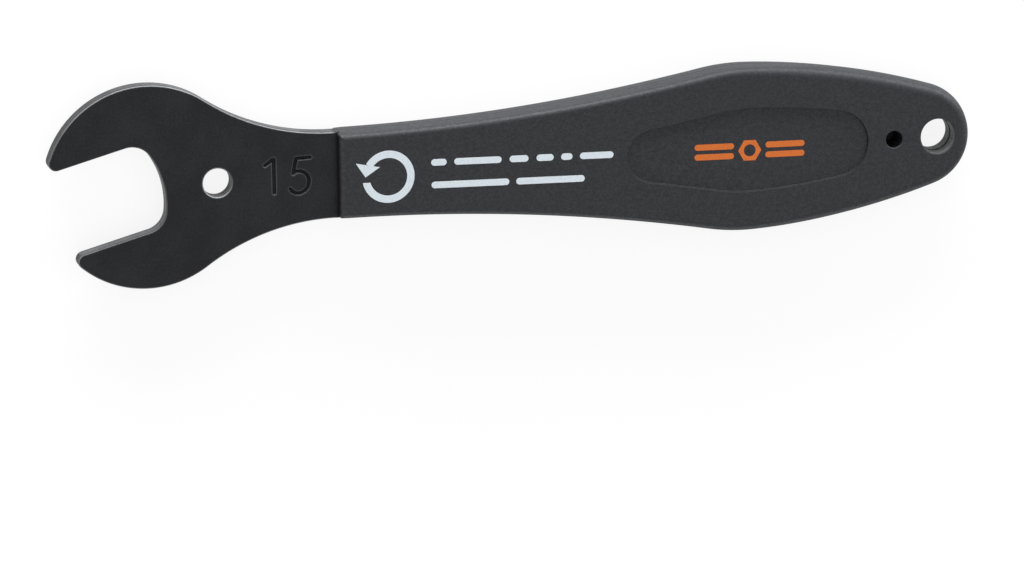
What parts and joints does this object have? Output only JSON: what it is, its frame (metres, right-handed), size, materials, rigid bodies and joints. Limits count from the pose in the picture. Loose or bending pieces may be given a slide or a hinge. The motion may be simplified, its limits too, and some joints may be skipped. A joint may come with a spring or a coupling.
{
  "type": "pedal wrench",
  "caption": "Short flat open-ended wrench for bicycle pedals: an offset steel jaw on a flared plastic grip with a hang hole in its tail.",
  "frame": {"origin": "centre of the round hole in the blade's head, at mid-thickness", "axes": "+X along the handle from the jaw to the tail, +Y across the blade towards the upper jaw, +Z out of the face with the sunk panel"},
  "size_m": [0.1609, 0.035, 0.0074],
  "materials": {
    "steel": "satin black coating on steel",
    "grip_plastic": "fine matte moulded grain",
    "print_light": "pad-printed ink, pale grey-blue",
    "print_orange": "pad-printed ink, orange"
  },
  "bodies": {
    "root": {"blade": "steel", "grip": "grip_plastic"}
  },
  "joints": []
}
